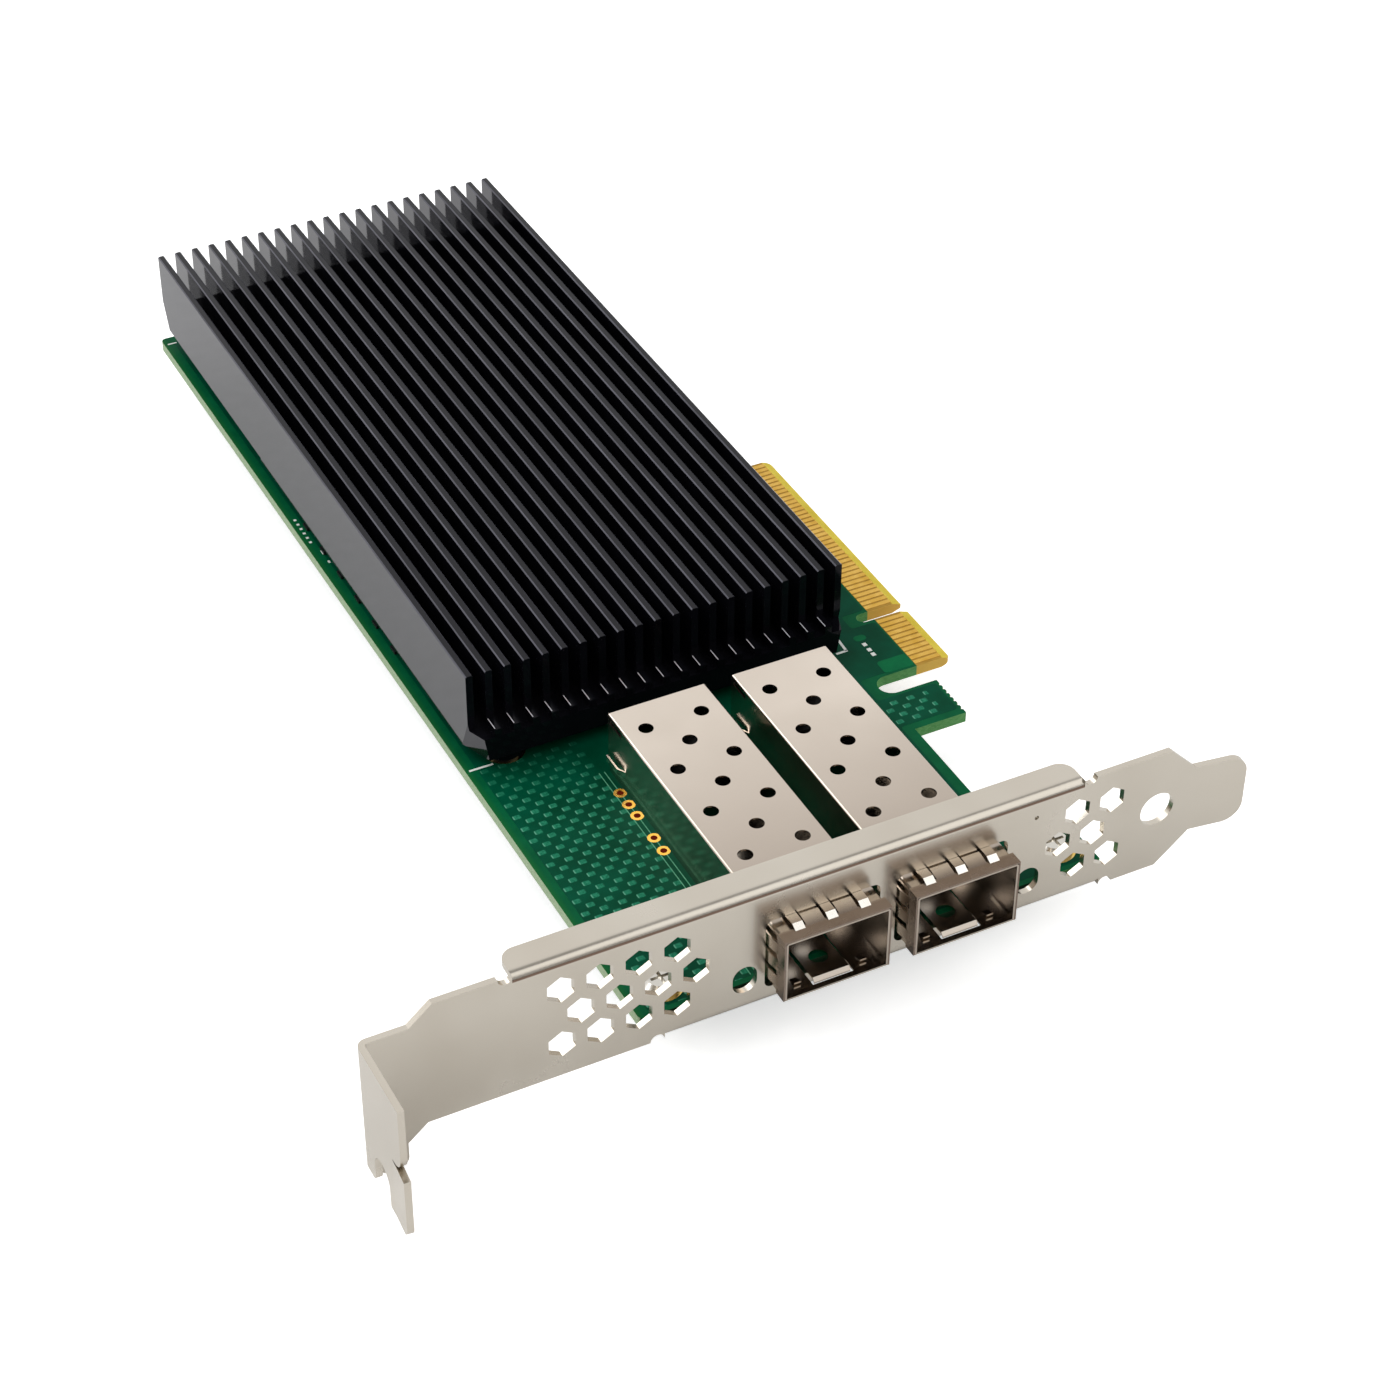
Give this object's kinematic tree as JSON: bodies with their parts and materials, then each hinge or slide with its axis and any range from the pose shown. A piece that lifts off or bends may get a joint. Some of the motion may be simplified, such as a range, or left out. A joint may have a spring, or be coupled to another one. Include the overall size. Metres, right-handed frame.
{
  "type": "network interface card",
  "caption": "Full-height network interface card with a folded vented bracket, pluggable module ports, a finned heatsink and a gold edge connector.",
  "frame": {"origin": "centre of the key notch on the contact edge, at half the board's thickness", "axes": "+X out of the contact edge, +Y along the board away from the bracket, +Z towards the component side"},
  "size_m": [0.1202, 0.1816, 0.0243],
  "materials": {
    "board_laminate": "satin green solder mask over glass-epoxy",
    "contact_gold": "polished gold plating",
    "pad_gold": "satin gold plating",
    "nickel_plate": "satin nickel plating",
    "screw_steel": "bright zinc plating",
    "bush_steel": "satin zinc plating",
    "black_anodised": "satin black anodised",
    "thermal_pad": "soft matt",
    "chip_substrate": "matt",
    "lid_nickel": "satin nickel plating",
    "inductor_core": "matt pressed powder",
    "chip_plastic": "matt moulding compound",
    "capacitor_ceramic": "matt",
    "resistor_body": "matt",
    "light_resin": "clear resin",
    "cage_nickel": "satin nickel plating",
    "spring_nickel": "bright nickel plating",
    "connector_plastic": "matt moulded plastic"
  },
  "bodies": {
    "root": {"circuit_board": "board_laminate", "edge_contacts_top": "contact_gold", "edge_contacts_bottom": "contact_gold", "screw_pads": "pad_gold", "bracket": "nickel_plate", "bracket_screws": "screw_steel", "bracket_bushes": "bush_steel", "heatsink": "black_anodised", "heatsink_screws": "screw_steel", "thermal_pad": "thermal_pad", "controller_package": "chip_substrate", "controller_lid": "lid_nickel", "power_inductors": "inductor_core", "voltage_regulators": "chip_plastic", "flash_memory": "chip_plastic", "clock_crystal": "lid_nickel", "ceramic_capacitors": "capacitor_ceramic", "chip_resistors": "resistor_body", "status_lights": "light_resin", "left_cage_cover": "cage_nickel", "left_cage_floor": "cage_nickel", "left_spring_collar": "spring_nickel", "left_port_connector": "connector_plastic", "left_port_contacts": "contact_gold", "right_cage_cover": "cage_nickel", "right_cage_floor": "cage_nickel", "right_spring_collar": "spring_nickel", "right_port_connector": "connector_plastic", "right_port_contacts": "contact_gold"}
  },
  "joints": []
}
